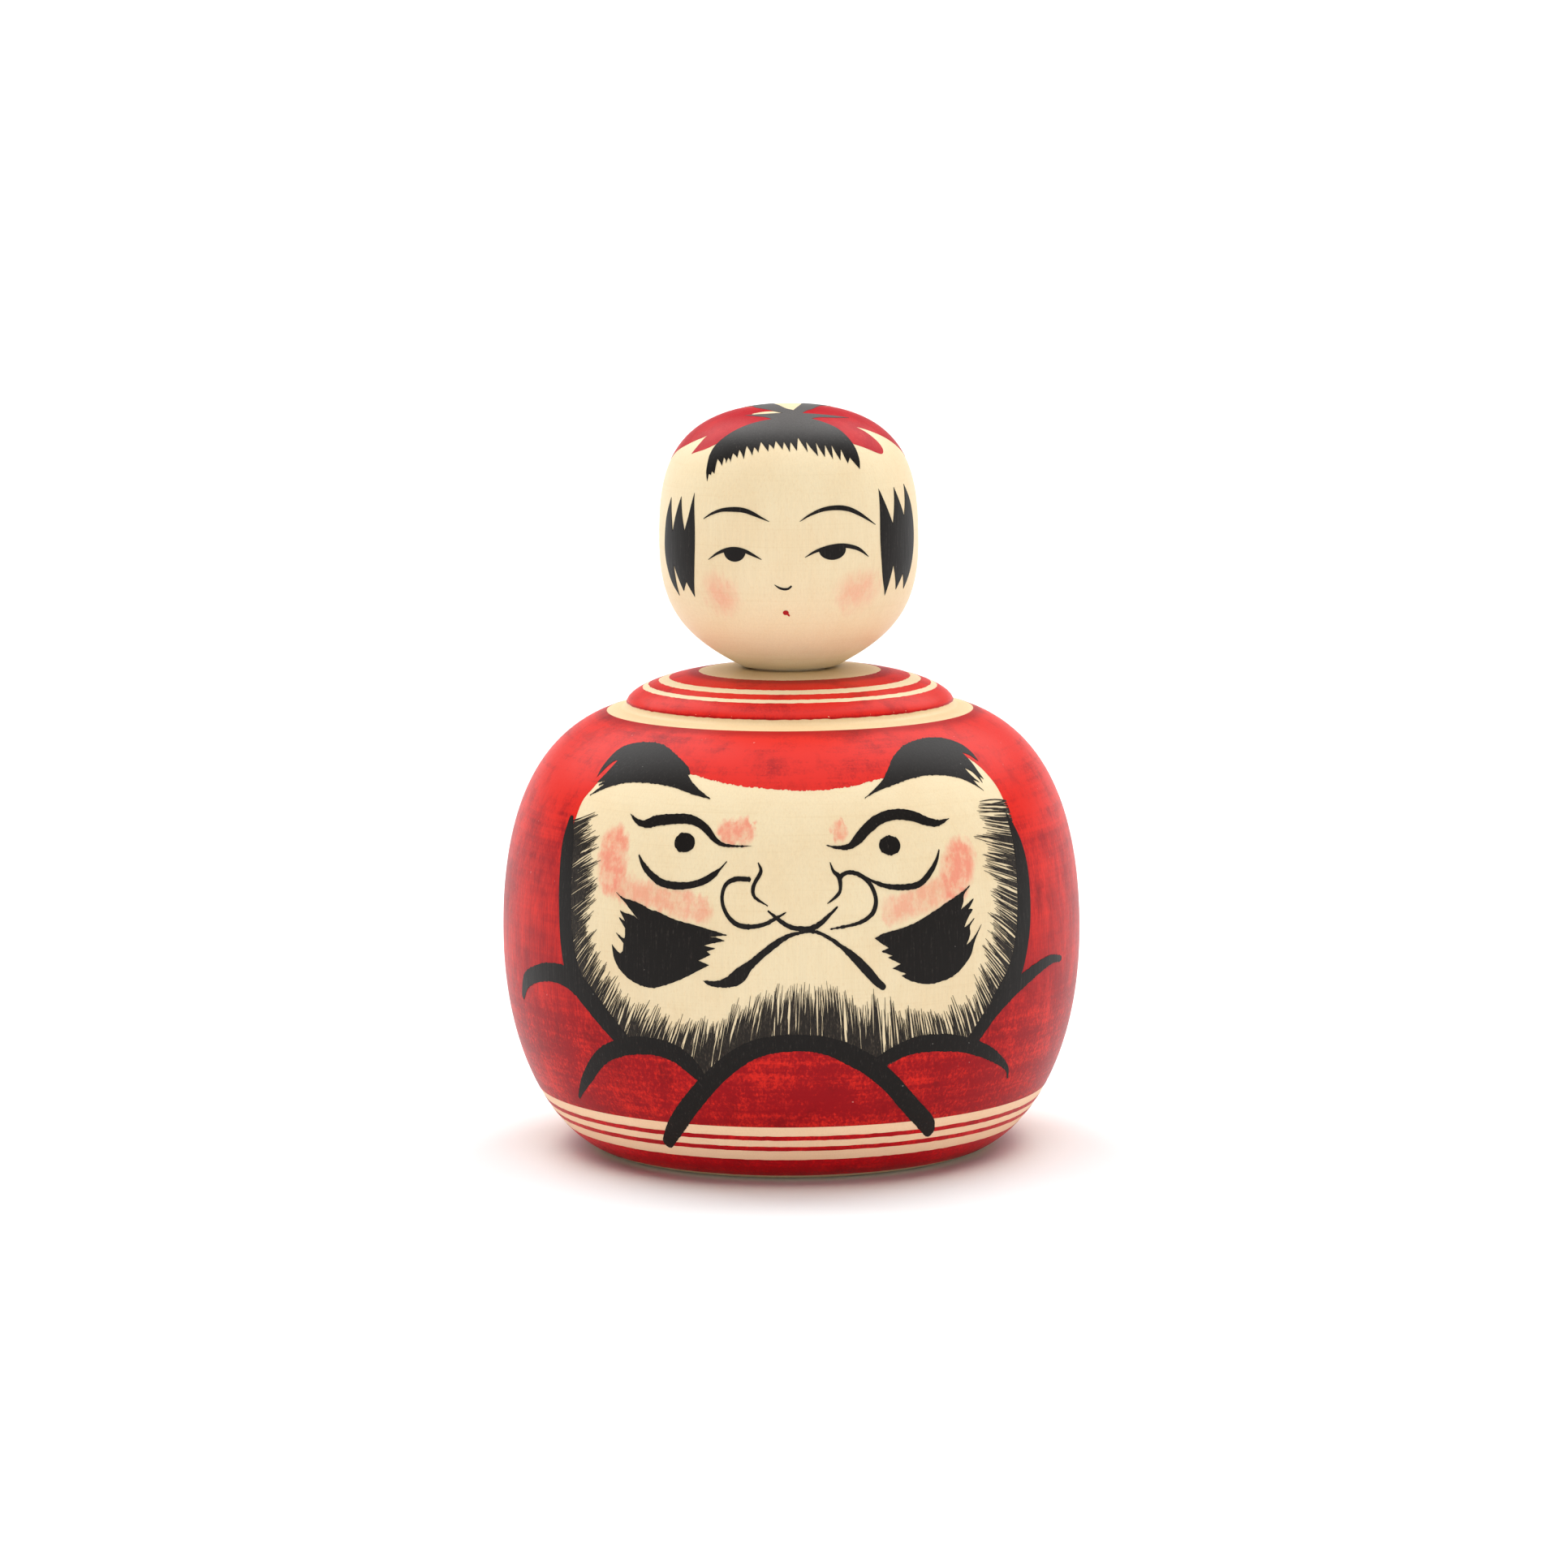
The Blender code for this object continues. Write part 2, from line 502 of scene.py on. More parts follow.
def new_node(tree, kind, inputs=None, **settings):
    """A shader node. Its inputs are values, or the outputs of other nodes to link to."""
    made = tree.nodes.new("ShaderNode" + kind)
    for name, value in settings.items():
        setattr(made, name, value)
    for socket, value in (inputs or {}).items():
        if isinstance(value, bpy.types.NodeSocket):
            tree.links.new(value, made.inputs[socket])
        else:
            made.inputs[socket].default_value = value
    return made


class Graph:
    """A material's nodes, with short ways to add and join them. Lengths are millimetres."""

    def __init__(self, name):
        self.material = bpy.data.materials.new(name)
        self.material.use_nodes = True
        self.tree = self.material.node_tree
        self.shader = self.tree.nodes["Principled BSDF"]
        coordinates = self.node("TexCoord")
        self.place = self.vector("MULTIPLY", coordinates.outputs["Object"], (1 / MM,) * 3)
        axes = self.node("SeparateXYZ", {0: self.place})
        self.x, self.y, self.z = axes.outputs
        # Upright fibre, short flecks and turning lines of pale close-grained wood, each 0 to 1.
        self.fibre = self.noise((4.5, 4.5, 0.22), detail=3.0, roughness=0.6)
        self.fleck = self.noise((6.5, 6.5, 2.4), detail=2.0, offset=11.0)
        self.turning = self.noise((0.04, 0.04, 3.2), detail=3.0, roughness=0.7, offset=5.0)

    def node(self, kind, inputs=None, **settings):
        return new_node(self.tree, kind, inputs, **settings)

    def math(self, operation, *values):
        return self.node("Math", dict(enumerate(values)), operation=operation).outputs[0]

    def times(self, first, second):
        return self.math("MULTIPLY", first, second)

    def plus(self, first, second):
        return self.math("ADD", first, second)

    def swing(self, noise, size):
        """The noise moved to lie evenly round 0, over a range of about size."""
        return self.times(self.math("SUBTRACT", noise, 0.5), size)

    def vector(self, operation, *values):
        made = self.node("VectorMath", dict(enumerate(values)), operation=operation)
        return made.outputs["Value" if operation in ("LENGTH", "DOT_PRODUCT") else "Vector"]

    def noise(self, stretch, detail=2.0, roughness=0.5, offset=0.0):
        """Noise whose patches are about one over stretch millimetres along each axis."""
        where = self.vector("MULTIPLY", self.place, stretch)
        where = self.vector("ADD", where, (offset, offset * 0.7, offset * 1.3))
        inputs = {"Vector": where, "Scale": 1.0, "Detail": detail, "Roughness": roughness}
        return self.node("TexNoise", inputs).outputs[0]

    def step(self, value, low, high, to_low=0.0, to_high=1.0):
        """A smooth step from to_low to to_high as value goes from low to high."""
        inputs = {0: value, 1: low, 2: high, 3: to_low, 4: to_high}
        return self.node("MapRange", inputs, interpolation_type="SMOOTHSTEP", clamp=True).outputs[0]

    def mix(self, share, first, second, blend="MIX"):
        first, second = ((*c, 1.0) if isinstance(c, tuple) else c for c in (first, second))
        inputs = {0: share, 6: first, 7: second}
        return self.node("Mix", inputs, data_type="RGBA", blend_type=blend).outputs[2]

    def tint(self, share, color, tone):
        """The colour, multiplied by the tone where share is 1."""
        return self.mix(share, color, tone, "MULTIPLY")

    def specks(self, color, stretch, offset, share, tone):
        """The colour, with a few small specks of dust on it."""
        dust = self.noise(stretch, detail=1.0, offset=offset)
        return self.mix(self.step(dust, 0.80, 0.83, 0.0, share), color, tone)

    def spot(self, round_place, start, end, radius, softness):
        """1 within radius of the line from start to end on a chart, fading to 0 over softness."""
        line = np.array(end) - np.array(start)
        offset = self.vector("SUBTRACT", round_place, (*start, 0.0))
        share = self.vector("DOT_PRODUCT", offset, (*(line / float(line @ line)), 0.0))
        share = self.node("Clamp", {0: share}).outputs[0]
        ahead = self.node("CombineXYZ", {0: share, 1: share, 2: share}).outputs[0]
        nearest = self.vector("MULTIPLY", ahead, (*line, 0.0))
        distance = self.vector("LENGTH", self.vector("SUBTRACT", offset, nearest))
        return self.step(distance, radius - softness / 2, radius + softness / 2, 1.0, 0.0)

    def bump(self, height, strength):
        inputs = {"Height": height, "Strength": strength, "Distance": BUMP_HEIGHT * MM}
        made = self.node("Bump", inputs)
        self.tree.links.new(made.outputs[0], self.shader.inputs["Normal"])

    def finish(self, color, roughness, gloss):
        self.tree.links.new(color, self.shader.inputs["Base Color"])
        self.tree.links.new(roughness, self.shader.inputs["Roughness"])
        self.shader.inputs["Specular IOR Level"].default_value = gloss
        return self.material


PALE = (0.865, 0.715, 0.465)
PITH = (48.0, 30.0, 0.0)
RINGS_PER_MM = 2.6 / math.tau
TINT_BAND_SOFTNESS = 0.6


def wood(name, chart_radius, blushes, blush_tint, evenness, shade_and_tint_bands=()):
    """Pale wood with upright grain, and soft patches of rouge brushed on at places on a chart.

    A blush is (start, end, radius, softness, weight). A tint band is (low, high, tone): between those
    heights the wood's colour is multiplied by the tone. The yearly rings lie round PITH."""
    g = Graph(name)
    pith = g.vector("SUBTRACT", g.place, PITH)
    pith = g.vector("MULTIPLY", pith, (1.0, 1.0, 0.04))
    sway = g.noise((0.05, 0.05, 0.02), detail=1.0, offset=3.0)
    rings = g.plus(g.vector("LENGTH", pith), g.times(sway, 6.0))
    rings = g.math("SINE", g.times(rings, RINGS_PER_MM * math.tau))
    pale = g.mix(g.step(g.fibre, 0.35, 0.7), tuple(c * 0.965 for c in PALE), PALE)
    pale = g.tint(g.step(g.fleck, 0.5, 0.75, 0.0, 0.55), pale, (0.95, 0.88, 0.78))
    pale = g.tint(g.step(rings, 0.2, 1.0, 0.0, 0.08), pale, (0.96, 0.90, 0.80))
    pale = g.tint(g.step(g.turning, 0.5, 0.75, 0.0, 0.45), pale, (0.94, 0.90, 0.83))
    cloud = g.noise((0.11, 0.11, 0.09), detail=4.0, offset=21.0)
    pale = g.tint(g.step(cloud, 0.42, 0.68, 0.0, 0.7), pale, (0.97, 0.93, 0.89))
    # Painted shade and tints: between two heights the wood's colour is multiplied by a tone.
    for low, high, tone in shade_and_tint_bands:
        rise = g.step(g.z, low - TINT_BAND_SOFTNESS, low)
        fall = g.step(g.z, high + TINT_BAND_SOFTNESS, high)
        pale = g.tint(g.times(rise, fall), pale, tone)
    turn = g.math("ARCTAN2", g.x, g.times(g.y, -1.0))
    spread = g.swing(g.noise((1.4, 1.4, 0.6), detail=3.0, offset=31.0), 2.2)
    around = g.plus(g.times(turn, chart_radius), spread)
    level = g.plus(g.z, spread)
    round_place = g.node("CombineXYZ", {0: around, 1: level}).outputs[0]
    patchy = g.noise((0.8, 0.8, 0.5), detail=4.0, roughness=0.65, offset=41.0)
    patchy = g.step(patchy, 0.34, 0.60, evenness, 1.0)
    marks = [g.times(g.spot(round_place, *line), weight) for *line, weight in blushes]
    flush = marks[0]
    for mark in marks[1:]:
        flush = g.math("MAXIMUM", flush, mark)
    color = g.tint(g.times(flush, patchy), pale, blush_tint)
    g.bump(g.plus(g.times(g.fibre, 0.5), g.times(g.turning, 0.5)), 0.25)
    return g.finish(color, g.step(g.fibre, 0.3, 0.7, 0.5, 0.42), gloss=0.2)


# The dye is painted brighter high on the body, for thinner dye there and as painted light from above,
# and a little darker low down as painted shade. Its streaks are stronger high and low than between.
HIGH_LIT_ON_BODY = (34.0, 52.0)
LOW_SHADED_ON_BODY = (26.0, 17.0)


def dye(name, deep, bright, edges=(), edge_width=0.35):
    """Red dye laid on a turning block: streaks run round it, and the grain shows through.

    It's deep where it's thick, bright where it's thin or painted lit, and it pools at the edges'
    heights."""
    g = Graph(name)
    high = g.step(g.z, *HIGH_LIT_ON_BODY)
    low = g.step(g.z, *LOW_SHADED_ON_BODY)
    ends = g.plus(g.plus(high, low), 0.4)
    mottle = g.noise((2.6, 2.6, 2.0), detail=3.0, roughness=0.7, offset=37.0)
    streak = g.noise((0.035, 0.035, 0.8), detail=4.0, roughness=0.65, offset=7.0)
    line = g.noise((0.05, 0.05, 2.6), detail=3.0, roughness=0.6, offset=17.0)
    swings = [
        # Painted light high on the body, together with thinner dye there, and painted shade low down.
        g.times(high, 0.42),
        g.times(low, -0.12),
        g.times(g.swing(streak, 0.9), ends),
        g.times(g.swing(line, 0.45), ends),
        g.swing(g.noise((0.13, 0.13, 0.13), detail=4.0, offset=27.0), 1.1),
        g.swing(g.noise((0.55, 0.55, 0.12), detail=4.0, roughness=0.6, offset=87.0), 0.9),
        g.swing(g.fibre, 0.8),
        g.times(g.swing(mottle, 1.7), g.plus(low, 0.25)),
    ]
    thin = 0.42
    for each in swings:
        thin = g.plus(each, thin)
    red = g.mix(g.step(thin, 0.05, 0.95), deep, bright)
    dark = g.noise((0.20, 0.20, 0.16), detail=5.0, roughness=0.65, offset=47.0)
    red = g.tint(g.step(dark, 0.52, 0.74, 0.0, 0.75), red, (0.60, 0.35, 0.6))
    for edge in edges:
        gap = g.math("ABSOLUTE", g.math("SUBTRACT", g.z, edge))
        gap = g.step(gap, edge_width, edge_width * 0.25, 0.0, 0.7)
        red = g.tint(gap, red, (0.5, 0.2, 0.6))
    red = g.specks(red, (2.1, 2.1, 1.6), 57.0, 0.5, (0.85, 0.42, 0.36))
    g.bump(g.plus(g.times(g.fibre, 0.6), g.times(g.turning, 0.4)), 0.3)
    return g.finish(red, g.step(g.fleck, 0.3, 0.7, 0.44, 0.36), gloss=0.12)


def ink(name, tone=(0.010, 0.008, 0.007), worn=(0.05, 0.040, 0.034), wear=0.5, painted_sheen=None):
    """Black ink soaked into the grain, thinner along the fibres, and can be painted lighter high up.

    The last argument is the heights where the painted sheen starts and ends, and its tone at the end."""
    g = Graph(name)
    thin = g.times(g.step(g.fibre, 0.60 - 0.2 * wear, 0.8), g.step(g.fleck, 0.4, 0.7))
    color = g.mix(thin, tone, worn)
    # Painted sheen: the ink is painted lighter towards the top, where the light from above falls.
    if painted_sheen:
        start, end, sheen_tone = painted_sheen
        share = g.times(g.step(g.z, start, end), g.step(g.fleck, 0.3, 0.7, 0.8, 1.0))
        color = g.mix(share, color, sheen_tone)
    color = g.specks(color, (2.3, 2.3, 1.9), 67.0, 0.35, (0.35, 0.32, 0.28))
    g.bump(g.fibre, 0.3)
    return g.finish(color, g.step(g.fibre, 0.3, 0.7, 0.46, 0.38), gloss=0.12)


def rouge(name, tone, bright):
    """Red pigment brushed on the head: a little lighter along the grain."""
    g = Graph(name)
    cloud = g.noise((0.35, 0.35, 0.35), detail=3.0, offset=77.0)
    thin = g.plus(g.step(cloud, 0.4, 0.75, 0.0, 0.6), g.step(g.fibre, 0.5, 0.75, 0.0, 0.4))
    color = g.mix(thin, tone, bright)
    g.bump(g.plus(g.fibre, g.fleck), 0.2)
    return g.finish(color, g.step(g.fibre, 0.3, 0.7, 0.45, 0.38), gloss=0.12)


# ---- wood

BODY_BLUSHES = [
    ((-25.2, 43.2), (-24.8, 39.4), 2.2, 1.4, 1.0),
    ((-24.2, 38.6), (-11.6, 36.2), 1.5, 1.4, 0.75),
    ((-8.4, 45.8), (-6.4, 45.8), 1.5, 0.9, 0.95),
    ((6.4, 46.2), (6.4, 45.3), 0.8, 0.7, 0.8),
    ((23.4, 41.6), (22.0, 38.6), 2.3, 1.4, 1.0),
    ((13.0, 36.0), (20.5, 38.0), 1.6, 1.4, 0.7),
]
HEAD_BLUSHES = [
    ((-10.0, 73.5), (-9.2, 73.0), 1.9, 3.4, 0.95),
    ((8.6, 73.3), (10.6, 73.8), 1.8, 3.4, 0.95),
]
# Painted shade on the cream band in the crease under the dome's rim: the wood is darker and warmer
# there.
LEDGE_SHADE = (56.4, 58.0, (0.98, 0.89, 0.80))
# Between these heights the wood is made redder, with more red and less green and blue.
FOOT_TINT = (1.0, 8.6, (1.12, 0.94, 0.94))
body_pale = wood(
    "pale_wood_body", BODY_RADIUS, BODY_BLUSHES, blush_tint=(1.0, 0.44, 0.45), evenness=0.45,
    shade_and_tint_bands=(LEDGE_SHADE, FOOT_TINT),
)
head_pale = wood(
    "pale_wood_head", HEAD_RADIUS, HEAD_BLUSHES, blush_tint=(1.0, 0.66, 0.66), evenness=0.6
)

body_wood = lathe("body_wood", socket() + body_side() + underside(), (body_pale, *ON_BODY))
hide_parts("body")
head_wood = lathe("head_wood", head_side() + neck(), (head_pale, *ON_HEAD))
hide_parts("head")


# ---- dyed rings

# The dome's rings lie between radii, and the foot's between heights.
DOME_RINGS = ((11.8, 15.6), (17.0, 18.3), (19.1, CREASE[0] - 0.02))
FOOT_RINGS = ((7.0, 6.4), (5.45, 4.85), (3.45, 0.75))
BELLY_TOP_Z = 56.91
BELLY_BOTTOM_Z = 8.3

REDS = ((0.31, 0.002, 0.006), (0.70, 0.018, 0.010))
# The foot's red is the belly's red painted lighter: painted light on the low rings, which face the
# floor and lie in shade.
FOOT_REDS_PAINTED_LIT = ((0.42, 0.001, 0.006), (0.72, 0.008, 0.010))
dome_places = [[body_surface.at_radius(r) for r in radii] for radii in DOME_RINGS]
dome_rims = [float(body_surface.height_at(s)) for s in (dome_places[0][0], dome_places[-1][1])]
body_red = dye("red_dye_belly", *REDS, edges=(BELLY_TOP_Z,), edge_width=0.7)
dome_red = dye("red_dye_dome", *REDS, edges=dome_rims)
foot_red_painted_lit = dye("red_dye_foot_painted_lit", *FOOT_REDS_PAINTED_LIT)

for number, places in enumerate(dome_places):
    band(f"dye_dome_ring_{number + 1}", *places, (dome_red, *ON_BODY), wobble=0.05, seed=number)
for number, heights in enumerate(FOOT_RINGS):
    name = f"dye_foot_ring_{number + 1}"
    places = body_surface.at_height(heights)
    band(name, *places, (foot_red_painted_lit, *ON_BODY), wobble=0.04, seed=10 + number)

FACE_OPENING = shape(
    [(-32.6, 49.3), (-33.5, 47.9), (-33.7, 45.4)],
    [(-33.9, 42.0), (-33.2, 38.0), (-32.5, 33.0), (-31.6, 28.6), (-29.0, 24.8), (-24.0, 20.2)],
    [(-21.0, 18.5), (-17.0, 18.4), (-13.5, 16.8), (-11.2, 15.4)],
    [(-8.0, 17.8), (-4.0, 19.5), (0.6, 19.8), (5.0, 19.0), (9.0, 17.0), (10.9, 16.4)],
    [(14.0, 18.2), (18.0, 18.8), (22.5, 18.1), (24.8, 18.8)],
    [(28.0, 22.4), (31.3, 26.2), (33.0, 30.0), (34.2, 35.5), (34.6, 41.0), (34.4, 46.5)],
    [(34.1, 49.3), (32.9, 51.6), (31.6, 52.8)], [(26.0, 53.4), (18.0, 52.6), (14.1, 51.6)],
    [(8.4, 50.8), (3.0, 50.5), (-2.7, 50.7), (-9.2, 51.2), (-15.7, 52.2)],
    [(-22.0, 52.6), (-28.0, 52.4), (-31.6, 50.8)],
)
half_round = math.pi * BODY_RADIUS
sheet_edge = [(-half_round, BELLY_BOTTOM_Z), (half_round, BELLY_BOTTOM_Z)]
sheet_edge += [(half_round, BELLY_TOP_Z), (-half_round, BELLY_TOP_Z)]
film(
    "dye_belly", belly, [sheet_edge], DYE_LIFT, (body_red, *ON_BODY), grid=1.0,
    holes=[bled(FACE_OPENING, 0.16, seed=3)],
)


# ---- the painted face on the body

# Painted sheen on the brows high on the body: the ink is painted lighter there.
body_black = ink("black_ink_body", painted_sheen=(50.0, 56.0, (0.018, 0.016, 0.015)))


def paint(name, outlines, bleed=0.10):
    """Ink on the belly's chart, with edges bled along the grain."""
    drawn = [bled(outline, bleed, seed=len(name) + i) for i, outline in enumerate(outlines)]
    film(name, belly, drawn, INK_LIFT, (body_black, *ON_BODY), grid=0.9)


paint("ink_brow_left", [shape(
    [(-31.4, 49.4), (-30.2, 50.3)], [(-31.5, 50.0)], [(-30.4, 50.7)], [(-32.0, 50.3)],
    [(-31.1, 51.5), (-30.3, 53.0)], [(-31.3, 52.7), (-32.7, 50.9)],
    [(-32.8, 52.3), (-32.1, 54.1), (-30.1, 54.9), (-27.2, 55.2), (-24.5, 55.2), (-21.8, 54.8),
     (-18.5, 53.8), (-16.4, 52.9), (-15.7, 52.2)],
    [(-16.1, 52.1)], [(-14.5, 51.0), (-13.0, 50.2), (-11.6, 49.5)],
    [(-14.1, 49.9), (-17.6, 50.6), (-21.1, 50.9), (-25.2, 50.8), (-28.1, 50.3), (-30.8, 49.4),
     (-32.4, 48.7)],
)])
paint("ink_brow_right", [shape(
    [(11.7, 50.1), (13.9, 51.4), (15.5, 52.7), (17.4, 54.0), (20.4, 55.0), (23.7, 55.4), (27.2, 55.5),
     (30.2, 55.2), (32.4, 54.4), (33.2, 53.4), (33.2, 52.4)],
    [(32.2, 53.2), (31.0, 53.6)], [(31.5, 52.4), (31.7, 51.3), (32.0, 50.4)], [(31.4, 50.8)],
    [(31.4, 50.0)], [(30.5, 51.3), (29.2, 52.0)], [(29.9, 50.9), (30.8, 50.1)], [(29.7, 50.5)],
    [(30.2, 49.7), (30.9, 49.1)],
    [(29.2, 50.1), (27.2, 50.9), (24.8, 51.4), (21.8, 51.6), (18.7, 51.4), (15.8, 50.9), (13.0, 50.3),
     (10.6, 49.5)],
)])

paint("ink_upper_lid_left", [shape(
    [(-22.6, 46.8), (-21.2, 46.5), (-19.4, 47.2), (-17.0, 47.5), (-14.5, 47.6), (-12.8, 47.2),
     (-11.2, 46.3), (-9.9, 44.9), (-8.9, 44.35), (-7.3, 44.15), (-5.2, 44.1)],
    [(-7.5, 43.95), (-9.1, 44.0), (-10.4, 44.5), (-11.7, 45.5), (-12.9, 46.2), (-14.6, 46.5),
     (-17.0, 46.3), (-19.0, 46.0), (-20.4, 45.7), (-22.2, 46.1), (-23.6, 47.2)],
)])
paint("ink_upper_lid_right", [shape(
    [(5.9, 44.0), (7.5, 44.2), (8.8, 45.5), (10.6, 46.9), (12.8, 47.8), (15.2, 48.0), (17.3, 47.7),
     (19.2, 46.9), (20.8, 46.35), (22.9, 46.4)],
    [(21.0, 45.7), (19.2, 45.8), (16.9, 46.5), (14.6, 46.8), (12.5, 46.4), (10.7, 45.4), (9.3, 44.3),
     (7.7, 43.6), (5.9, 43.7), (4.6, 44.15)],
)])
paint("ink_lower_lid_left", [stroke([
    (-20.9, 42.4, 0.15), (-20.0, 41.2, 0.6), (-18.8, 40.2, 0.8), (-17.2, 39.3, 0.9),
    (-15.1, 39.0, 0.9), (-13.0, 39.2, 0.8), (-11.2, 39.8, 0.85), (-10.0, 40.6, 0.7),
    (-9.3, 41.2, 0.25), (-8.4, 42.2, 0.1),
])])
paint("ink_lower_lid_right", [stroke([
    (9.0, 40.5, 0.15), (10.7, 39.5, 0.35), (12.6, 38.85, 0.6), (15.0, 38.65, 0.7),
    (16.9, 38.95, 0.75), (18.5, 40.2, 0.65), (19.6, 41.5, 0.45), (20.3, 42.8, 0.12),
])])
paint("ink_pupil_left", [ellipse((-14.4, 44.25), 1.45, 1.15)], bleed=0.15)
paint("ink_pupil_right", [ellipse((13.2, 43.8), 1.5, 1.12)], bleed=0.15)

paint("ink_nose", [
    stroke([(-5.4, 40.1, 0.5), (-7.1, 40.1, 0.6), (-8.3, 39.5, 0.5), (-8.8, 38.3, 0.45),
            (-8.7, 36.9, 0.45), (-7.9, 35.4, 0.5), (-6.7, 34.5, 0.6), (-5.2, 34.3, 0.55),
            (-3.5, 34.6, 0.45), (-2.1, 35.3, 0.4), (-0.7, 36.1, 0.12)]),
    stroke([(-4.3, 42.1, 0.1), (-3.9, 41.1, 0.45), (-4.6, 39.8, 0.45), (-4.9, 38.9, 0.5),
            (-4.6, 37.9, 0.35), (-3.0, 36.9, 0.1)]),
    stroke([(-3.0, 36.3, 0.2), (-1.5, 35.1, 0.45), (-0.4, 34.4, 0.5), (0.7, 34.1, 0.55),
            (2.4, 34.1, 0.6), (3.6, 34.7, 0.6), (4.5, 35.5, 0.45), (5.8, 36.7, 0.1)]),
    stroke([(5.0, 42.1, 0.1), (5.4, 41.0, 0.4), (6.1, 40.3, 0.6), (6.2, 38.8, 0.4),
            (5.7, 38.0, 0.4), (4.5, 37.1, 0.1)]),
    stroke([(6.1, 40.2, 0.5), (7.2, 40.8, 0.5), (8.7, 40.5, 0.5), (10.0, 39.4, 0.5),
            (10.7, 37.8, 0.5), (10.6, 36.4, 0.55), (9.8, 35.3, 0.5), (8.1, 34.5, 0.4),
            (4.8, 33.95, 0.12)]),
])
paint("ink_mouth", [
    shape([(0.1, 33.6), (-1.8, 32.8), (-3.5, 31.6), (-5.2, 30.2), (-7.0, 29.0), (-8.1, 28.0),
           (-9.3, 27.45), (-11.2, 27.4)],
          [(-10.2, 26.8), (-8.7, 26.7), (-7.0, 26.9), (-5.8, 27.7), (-5.0, 29.0), (-3.5, 30.5),
           (-1.8, 31.9), (-0.4, 32.9), (1.2, 33.5)]),
    stroke([(0.1, 33.5, 0.2), (2.7, 33.7, 0.35), (4.4, 33.0, 0.4), (6.1, 31.8, 0.5),
            (7.7, 30.4, 0.95), (9.3, 28.7, 1.15), (10.5, 27.3, 1.0), (11.4, 26.5, 0.85)]),
])

paint("ink_moustache_left", [shape(
    [(-22.6, 37.0), (-20.5, 36.6), (-18.3, 35.8), (-17.2, 35.6), (-14.9, 34.8), (-11.9, 34.2),
     (-8.1, 33.2)],
    [(-9.2, 33.1), (-10.4, 32.9)], [(-9.4, 32.8), (-8.4, 32.5)], [(-9.8, 32.2), (-11.1, 31.8)],
    [(-9.6, 31.5)], [(-10.7, 31.1)], [(-10.2, 30.7)], [(-11.8, 29.9)], [(-10.4, 29.4)],
    [(-11.9, 28.6), (-14.0, 27.5), (-16.8, 26.4), (-18.6, 26.1), (-20.9, 26.7), (-22.7, 27.9),
     (-23.7, 29.3), (-24.1, 31.0)],
    [(-22.9, 30.0)], [(-22.4, 30.4), (-22.3, 31.4)], [(-23.5, 32.6)], [(-22.2, 32.0), (-22.1, 33.3)],
    [(-23.1, 34.5)], [(-22.1, 34.1)], [(-23.0, 35.4)], [(-22.0, 35.1), (-20.9, 34.9), (-20.0, 34.4)],
    [(-20.9, 35.2), (-22.2, 36.4), (-23.8, 37.6)],
)])
paint("ink_moustache_right", [shape(
    [(11.9, 33.2), (13.9, 33.6), (15.7, 34.1), (17.3, 34.8), (19.1, 35.6), (21.0, 36.5), (22.8, 37.3),
     (24.4, 38.1)],
    [(23.3, 37.1), (23.1, 36.2), (22.6, 35.2)], [(23.8, 35.9), (24.8, 36.4)], [(23.8, 35.2)],
    [(24.5, 35.1)], [(23.7, 34.2), (22.9, 32.9)], [(23.9, 33.4), (24.7, 34.0)],
    [(23.9, 33.1), (23.9, 32.1), (23.2, 30.7)], [(24.4, 31.5), (25.8, 33.1)],
    [(24.6, 31.2), (24.0, 29.6), (23.1, 28.5), (21.6, 27.3), (19.5, 26.6), (17.3, 26.4), (15.1, 27.0),
     (13.9, 27.7)],
    [(14.6, 27.9)], [(12.7, 28.7)], [(13.8, 29.2)], [(12.1, 30.1)], [(12.7, 30.3)], [(11.3, 30.9)],
    [(12.2, 31.3)], [(10.4, 32.6)],
)])

